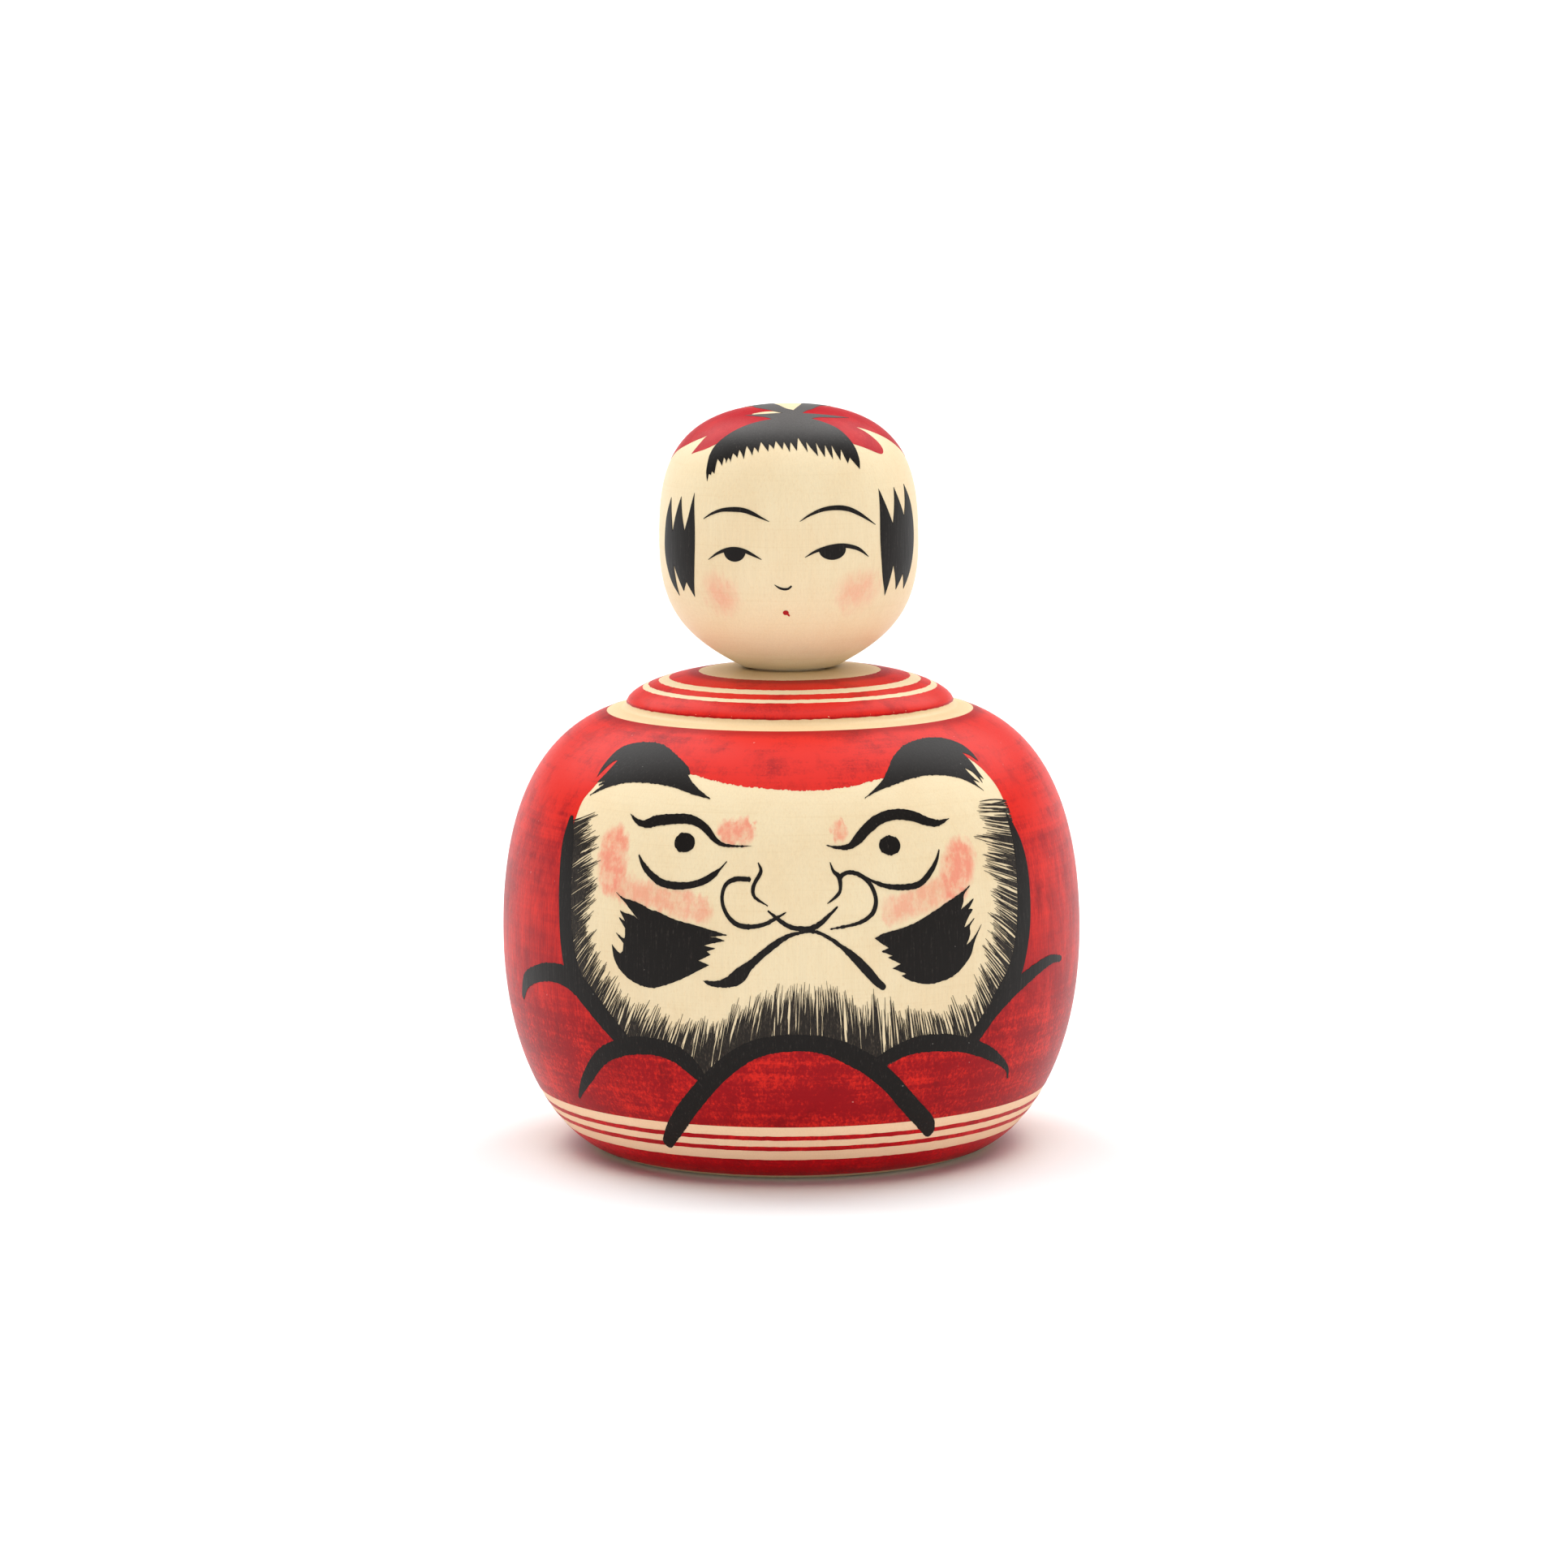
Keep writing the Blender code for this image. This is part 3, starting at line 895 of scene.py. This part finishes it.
paint("ink_face_outline_left", [stroke([
    (-34.6, 45.6, 0.9), (-34.0, 43.0, 2.3), (-33.3, 39.0, 2.5), (-32.7, 34.8, 2.5),
    (-32.1, 30.5, 2.5), (-31.2, 27.4, 2.7), (-29.3, 24.6, 2.7), (-26.2, 21.9, 2.3),
])])
paint("ink_face_outline_right", [stroke([
    (33.8, 46.0, 0.2), (34.4, 43.0, 1.6), (34.5, 40.0, 2.4), (34.2, 36.5, 2.7), (33.7, 32.5, 2.8),
    (32.7, 28.7, 2.8), (31.4, 26.0, 2.8), (28.6, 23.0, 2.2),
])])
paint("ink_robe_folds", [
    stroke([(-44.2, 21.9, 0.9), (-42.6, 24.0, 1.9), (-40.0, 25.2, 2.1), (-36.4, 26.1, 2.3),
            (-32.7, 26.1, 2.6), (-29.4, 24.8, 2.8), (-26.4, 22.0, 2.6), (-23.2, 19.0, 2.2)]),
    stroke([(-34.6, 9.8, 0.3), (-31.0, 13.0, 1.6), (-26.8, 16.5, 2.0), (-22.4, 18.2, 2.2),
            (-18.4, 18.5, 2.2), (-15.2, 17.7, 2.2), (-13.2, 16.1, 2.0), (-12.1, 14.8, 1.3)]),
    stroke([(-19.7, 5.3, 1.6), (-17.0, 8.1, 2.4), (-13.6, 11.7, 2.5), (-10.7, 14.6, 2.4),
            (-8.1, 16.9, 2.4), (-5.6, 18.5, 2.3), (-2.8, 19.4, 2.2), (0.6, 19.7, 2.1),
            (4.1, 19.3, 2.2), (7.1, 18.1, 2.5), (10.2, 16.3, 2.5), (13.2, 13.8, 2.4),
            (16.5, 10.6, 2.4), (19.9, 7.8, 2.3), (21.0, 6.6, 1.7)]),
    stroke([(10.8, 16.5, 1.5), (13.3, 17.8, 1.8), (16.2, 18.65, 2.1), (19.5, 18.65, 2.2),
            (23.3, 18.05, 2.0), (27.2, 16.7, 1.7), (30.2, 15.2, 1.2), (32.6, 13.6, 0.6),
            (33.4, 12.2, 0.25)]),
    stroke([(24.9, 18.4, 1.8), (28.0, 21.9, 2.1), (31.6, 24.2, 2.0), (36.0, 25.9, 1.6),
            (40.0, 26.7, 1.2), (43.3, 26.4, 0.7)]),
], bleed=0.12)


# The beard is dry-brushed from the lower line, under the face's outline, towards the upper one.
BEARD_ROOTS = [
    (-34.0, 45.6), (-33.4, 42.0), (-32.8, 38.4), (-32.2, 34.4), (-31.4, 30.2), (-29.8, 26.2),
    (-27.4, 23.0), (-23.8, 19.4), (-18.8, 18.4), (-14.6, 17.2), (-11.3, 15.4), (-8.2, 17.6),
    (-4.4, 19.4), (0.4, 20.0), (4.8, 19.3), (8.4, 17.7), (10.9, 16.4), (15.0, 18.2), (19.8, 18.6),
    (24.4, 18.3), (27.6, 21.8), (30.4, 25.4), (31.8, 29.2), (32.8, 33.6), (33.4, 38.2), (33.8, 42.6),
    (34.2, 47.6),
]
BEARD_TIPS = [
    (-30.0, 47.2), (-28.4, 44.6), (-27.0, 41.4), (-26.6, 38.0), (-27.0, 34.2), (-26.6, 30.4),
    (-23.8, 27.8), (-20.6, 25.6), (-16.4, 23.4), (-12.4, 23.4), (-9.2, 24.6), (-6.2, 25.6),
    (-3.0, 26.8), (0.8, 27.9), (4.4, 28.4), (7.4, 26.8), (10.4, 25.6), (14.0, 24.5), (18.0, 23.9),
    (21.8, 24.6), (24.6, 26.8), (26.2, 29.8), (26.8, 33.2), (26.8, 36.8), (26.7, 40.4), (26.2, 44.2),
    (28.2, 48.0),
]


HAIR_STEP = 0.9


def part_way(knots, share):
    """The point at a share of the way along a list of knots, counted by knots."""
    spot = min(max(share, 0.0), 1.0) * (len(knots) - 1)
    before = min(int(spot), len(knots) - 2)
    start, end = np.array(knots[before]), np.array(knots[before + 1])
    return start + (end - start) * (spot - before)


def dry_brush(dabs, reach, hair_width, seed, part=(0.0, 1.0)):
    """Hairs in dabs of a split brush, which draws a few close lines that run together at the end.

    Reach is the shortest and the longest dab, as shares of the way from the roots to the tips. Part
    is the stretch of the beard that's brushed, as shares of the way along it from the left."""
    draw = random.Random(seed)
    hairs = []
    share = (part[1] - part[0]) / dabs
    for dab in range(dabs):
        middle = part[0] + (dab + draw.uniform(0.3, 0.7)) * share
        half = draw.uniform(0.42, 0.58) * share
        pinch = draw.uniform(0.6, 1.0)
        lean = draw.gauss(0.0, 0.002)
        length = draw.uniform(*reach)
        count = draw.randint(4, 6)
        for hair in range(count):
            aside = 2 * hair / (count - 1) - 1 + draw.uniform(-0.12, 0.12)
            root = part_way(BEARD_ROOTS, middle + aside * half)
            tip = part_way(BEARD_TIPS, middle + lean + aside * half * pinch)
            own = length * draw.uniform(0.8, 1.05) * (1 - 0.12 * abs(aside))
            start = root - 0.1 * (tip - root)
            line = own * (tip - root)
            bend = np.array([-line[1], line[0]]) * draw.uniform(-0.04, 0.04)
            width = draw.uniform(*hair_width)
            knots = [
                (*start, width),
                (*(root + 0.35 * line + bend), width * draw.uniform(0.8, 1.1)),
                (*(root + 0.72 * line + bend * 0.6), width * draw.uniform(0.6, 0.85)),
                (*(root + line), 0.03),
            ]
            hairs.append(stroke(knots, step=HAIR_STEP))
    return hairs


thin_black = ink("thin_ink_beard", (0.020, 0.016, 0.013), (0.13, 0.10, 0.07), wear=1.0)
hairs = dry_brush(104, (0.76, 1.10), (0.11, 0.20), seed=5)
hairs += dry_brush(60, (0.30, 0.75), (0.10, 0.18), seed=6)
hairs += dry_brush(16, (0.55, 1.00), (0.10, 0.18), seed=7, part=(0.42, 0.62))
hairs += dry_brush(26, (0.50, 1.05), (0.10, 0.17), seed=8, part=(0.03, 0.38))
film("ink_beard", belly, hairs, INK_LIFT - 0.01, (thin_black, *ON_BODY), edge=HAIR_STEP)


# ---- hair and face on the head

# Painted sheen on the crown: the ink is painted lighter grey towards the top of the head.
hair_black = ink("black_ink_head", painted_sheen=(91.6, 96.0, (0.125, 0.118, 0.114)))
HEAD_INK = (hair_black, *ON_HEAD)
ribbon_red = rouge("red_ribbon_pigment", (0.44, 0.006, 0.014), (0.60, 0.020, 0.022))
lip_red = rouge("red_lip_pigment", (0.32, 0.004, 0.008), (0.46, 0.015, 0.018))

# The ends of the hair at the front, from left to right: each lock's upper and lower end.
FRINGE_VALLEYS = [
    (-12.2, -14.3), (-11.6, -14.3), (-10.2, -13.2), (-9.2, -13.6), (-8.6, -14.0), (-7.8, -13.7),
    (-6.8, -13.6), (-5.7, -13.4), (-4.7, -14.0), (-3.7, -13.4), (-2.6, -14.0), (-1.7, -13.6),
    (-0.6, -13.9), (0.3, -13.9), (1.3, -13.1), (2.4, -13.7), (3.7, -13.5), (5.0, -13.6), (5.9, -13.3),
    (7.3, -13.4), (8.8, -14.0),
]
FRINGE_TIPS = [
    (-11.9, -14.7), (-11.3, -14.9), (-9.8, -14.6), (-9.1, -14.6), (-8.4, -14.8), (-7.3, -14.7),
    (-6.4, -15.3), (-5.1, -15.2), (-4.2, -15.0), (-2.8, -15.2), (-2.0, -14.9), (-0.8, -15.1),
    (0.2, -15.5), (1.2, -15.3), (2.7, -15.3), (4.2, -15.6), (5.2, -15.5), (6.4, -15.4), (7.5, -15.1),
    (8.7, -15.0), (10.7, -14.7),
]


def comb(valleys, tips):
    """The sides of a row of brushed locks: each runs down from a valley and curls into its tip."""
    sides = []
    for valley, tip in zip(valleys, tips):
        bow = (0.6 * valley[0] + 0.4 * tip[0] + 0.12, 0.45 * valley[1] + 0.55 * tip[1])
        sides += [[valley], [bow, tip]]
    return sides


def mirrored(points):
    return [(-x, *rest) for x, *rest in points]


BACK_LOCK = [(-3.1, 0.0, 2.9), (-4.2, 4.0, 3.2), (-5.3, 8.5, 2.6), (-6.6, 14.0, 0.1)]
film("hair_fringe", crown, [
    shape(
        [(-12.0, -12.9), (-12.5, -13.8), (-12.8, -15.0)],
        *comb(FRINGE_VALLEYS, FRINGE_TIPS),
        [(10.5, -14.0), (10.2, -13.3), (9.3, -12.0), (7.8, -10.6), (6.3, -9.6), (4.6, -9.0),
         (3.0, -8.5)],
        [(4.1, -7.7), (6.0, -6.8), (7.9, -5.2)], [(6.2, -6.0), (4.1, -6.6), (1.8, -6.9)],
        [(2.4, -5.6), (3.3, -4.0), (4.6, 0.6)], [(1.9, 0.6)], [(1.4, -2.8), (0.7, -5.7)],
        [(-0.5, -4.2), (-1.9, 0.6)], [(-4.7, 0.6)], [(-4.2, -2.3), (-3.3, -4.0), (-2.4, -5.2)],
        [(-1.6, -6.1), (-0.6, -6.9)], [(-2.7, -6.8), (-4.3, -6.4), (-5.6, -6.0)],
        [(-3.8, -7.4), (-2.8, -8.1), (-2.1, -8.8)],
        [(-3.6, -9.0), (-5.4, -9.3), (-7.7, -9.9), (-10.1, -10.8), (-11.3, -11.8)],
    ),
    stroke(BACK_LOCK), stroke(mirrored(BACK_LOCK)),
], INK_LIFT, HEAD_INK, grid=0.8)

RIBBON = (ribbon_red, *ON_HEAD)
BACK_TAIL = [(-3.9, 2.0, 1.2), (-7.8, 5.6, 3.4), (-11.6, 8.8, 3.8), (-14.6, 11.6, 0.9)]
film("ribbon_left", crown, [
    shape(
        [(-2.0, -8.7), (-4.0, -9.6), (-8.0, -10.6), (-10.0, -10.6)], [(-11.8, -10.0), (-13.9, -8.5)],
        [(-12.4, -8.1), (-10.9, -7.4)], [(-11.9, -7.0), (-14.3, -5.0), (-16.5, -2.0), (-17.7, -0.2)],
        [(-15.8, 1.8), (-12.0, 3.2), (-8.0, 2.6), (-5.4, 0.4), (-3.6, -1.6)],
        [(-2.6, -4.0), (-2.3, -5.0)], [(-1.6, -5.9)], [(-3.0, -5.6), (-4.6, -5.8)],
        [(-4.4, -6.3), (-2.0, -7.0)],
    ),
    stroke(BACK_TAIL),
], DYE_LIFT, RIBBON, grid=0.8)
film("ribbon_right", crown, [
    shape(
        [(2.0, -7.8), (3.6, -9.2), (6.0, -10.2), (9.0, -11.5)],
        [(11.0, -10.8), (12.6, -10.1), (13.5, -9.3), (13.4, -8.3), (12.3, -7.7), (10.3, -7.4),
         (8.9, -7.4)],
        [(10.2, -6.7), (12.1, -5.6), (14.6, -3.6), (16.6, -1.4), (17.6, 0.4)],
        [(15.8, 2.2), (12.2, 3.4), (8.2, 2.8), (5.4, 0.4), (3.4, -1.2)], [(2.6, -4.2), (1.6, -6.6)],
    ),
    stroke(mirrored(BACK_TAIL)),
], DYE_LIFT, RIBBON, grid=0.8)

film("hair_sidelock_left", face, [shape(
    [(-13.3, 81.0), (-13.5, 76.5), (-14.2, 72.6)], [(-15.4, 74.5)], [(-16.4, 73.2)], [(-18.1, 76.6)],
    [(-17.9, 72.5)], [(-19.6, 74.6), (-20.8, 78.2), (-20.4, 82.0), (-19.2, 85.0)],
    [(-18.6, 82.6), (-18.2, 80.7)], [(-17.4, 83.0), (-16.5, 85.3)], [(-15.9, 82.8), (-15.3, 81.0)],
    [(-14.5, 83.2), (-13.8, 85.9)],
)], INK_LIFT, HEAD_INK, grid=0.8)
film("hair_sidelock_right", face, [shape(
    [(14.4, 83.6), (15.3, 81.7)], [(15.8, 83.8), (16.3, 86.3)], [(17.3, 84.2), (18.1, 82.5)],
    [(18.7, 84.4), (19.2, 86.5)], [(20.6, 83.8), (21.2, 79.8), (20.3, 75.8), (18.9, 73.1)],
    [(17.9, 75.2)], [(16.7, 73.2)], [(15.4, 76.5)], [(14.4, 72.6)],
    [(13.3, 75.6), (12.8, 80.4), (13.1, 86.3)],
)], INK_LIFT, HEAD_INK, grid=0.8)

film("painted_brows", face, [
    stroke([(-11.8, 82.75, 0.08), (-10.5, 83.45, 0.3), (-9.0, 83.95, 0.45), (-7.3, 84.1, 0.62),
            (-5.8, 84.0, 0.6), (-4.6, 83.6, 0.5), (-3.6, 83.15, 0.28), (-2.5, 82.65, 0.06)]),
    stroke([(1.4, 82.65, 0.06), (2.7, 83.45, 0.3), (4.5, 84.1, 0.5), (6.4, 84.25, 0.62),
            (8.0, 84.0, 0.6), (9.4, 83.4, 0.5), (10.7, 82.65, 0.3), (12.0, 81.85, 0.06)]),
], INK_LIFT, HEAD_INK)
film("painted_eyes", face, [
    stroke([(-11.0, 77.6, 0.06), (-9.5, 78.5, 0.35), (-8.1, 79.0, 0.5), (-7.0, 79.1, 0.55),
            (-5.9, 78.95, 0.5), (-4.9, 78.55, 0.4), (-3.5, 77.85, 0.06)]),
    ellipse((-7.1, 78.75), 1.5, 1.25, BELOW_LID),
    stroke([(2.0, 78.1, 0.06), (3.4, 78.85, 0.35), (5.2, 79.35, 0.5), (7.1, 79.45, 0.55),
            (8.8, 79.1, 0.5), (9.8, 78.6, 0.35), (10.8, 77.85, 0.06)]),
    ellipse((5.6, 79.0), 1.8, 1.3, BELOW_LID),
], INK_LIFT, HEAD_INK)
film("painted_nose", face, [stroke([
    (-1.9, 74.65, 0.06), (-1.3, 74.25, 0.25), (-0.7, 74.08, 0.3), (-0.1, 74.15, 0.28),
    (0.3, 74.5, 0.2),
])], INK_LIFT, HEAD_INK)
film("painted_mouth", face, [
    ellipse((-0.5, 71.0), 0.4, 0.3), stroke([(-0.3, 70.9, 0.3), (0.0, 70.55, 0.2)]),
], INK_LIFT, (lip_red, *ON_HEAD))


# ---- stage, light and camera

# Lights: azimuth from the front, elevation and softness in degrees, then watts per square metre.
LIGHTS = [
    ("overhead", 0, 89, 60, 2.5),
    ("back_left", -135, 45, 45, 1.55),
    ("back_right", 135, 45, 45, 1.45),
    ("front", 12, 38, 50, 0.38),
]
BACKDROP_LIGHT = 1.4
BACKDROP_FADE = (0.035, 0.30)
CEILING_LIGHT = 0.05
FLOOR_TONE = (0.9, 0.9, 0.9, 1.0)
FLOOR_HALF_WIDTH = 40.0


def floor():
    """A wide pale floor. Its size is in metres."""
    half = FLOOR_HALF_WIDTH
    mesh = bpy.data.meshes.new("floor")
    corners = [(-half, -half, 0.0), (half, -half, 0.0), (half, half, 0.0), (-half, half, 0.0)]
    mesh.from_pydata(corners, [], [(0, 1, 2, 3)])
    material = bpy.data.materials.new("pale_card")
    material.use_nodes = True
    shader = material.node_tree.nodes["Principled BSDF"]
    shader.inputs["Base Color"].default_value = FLOOR_TONE
    shader.inputs["Roughness"].default_value = 0.9
    shader.inputs["Specular IOR Level"].default_value = 0.0
    mesh.materials.append(material)
    card = new_object("floor", mesh)


def sun(name, azimuth, elevation, softness, strength):
    """A broad distant light. Azimuth 0 is straight in front, and all the angles are degrees."""
    light = bpy.data.lights.new(name, "SUN")
    light.angle = math.radians(softness)
    light.energy = strength
    turn, lift = math.radians(azimuth), math.radians(elevation)
    away = Vector((math.sin(turn) * math.cos(lift), -math.cos(turn) * math.cos(lift), math.sin(lift)))
    new_object(name, light).rotation_euler = away.to_track_quat("Z", "Y").to_euler()


def studio():
    """A white backdrop low round the horizon, and soft lights overhead and behind the doll."""
    world = bpy.data.worlds.new("studio")
    world.use_nodes = True
    tree = world.node_tree
    background = tree.nodes["Background"]
    coordinates = new_node(tree, "TexCoord")
    direction = new_node(tree, "SeparateXYZ", {0: coordinates.outputs["Generated"]})
    given = (direction.outputs[2], *BACKDROP_FADE, BACKDROP_LIGHT, CEILING_LIGHT)
    wall = new_node(tree, "MapRange", dict(enumerate(given)), interpolation_type="SMOOTHSTEP")
    tree.links.new(wall.outputs[0], background.inputs["Strength"])
    background.inputs["Color"].default_value = (1.0, 1.0, 1.0, 1.0)
    bpy.context.scene.world = world
    for light in LIGHTS:
        sun(*light)
    bpy.context.scene.view_settings.view_transform = "Standard"


# The camera: metres from the point that it aims at, and millimetres for its lens and sensor.
CAMERA_DISTANCE = 0.700
CAMERA_LIFT = math.radians(7.85)
CAMERA_ROLL = math.radians(-0.397)
AIM = (-0.00084, 0.0, 0.0470)
FOCAL_LENGTH = 123.67
SENSOR_WIDTH = 36.0


def camera():
    data = bpy.data.cameras.new("camera")
    data.sensor_width = SENSOR_WIDTH
    data.lens = FOCAL_LENGTH
    data.clip_start = 0.01
    data.clip_end = 100.0
    eye = new_object("camera", data)
    back = Vector((0.0, -math.cos(CAMERA_LIFT), math.sin(CAMERA_LIFT)))
    tilt = Euler((math.pi / 2 - CAMERA_LIFT, 0.0, 0.0)).to_matrix().to_4x4()
    roll = Matrix.Rotation(CAMERA_ROLL, 4, "Z")
    eye.matrix_world = Matrix.Translation(Vector(AIM) + back * CAMERA_DISTANCE) @ tilt @ roll
    bpy.context.scene.camera = eye


floor()
studio()
camera()
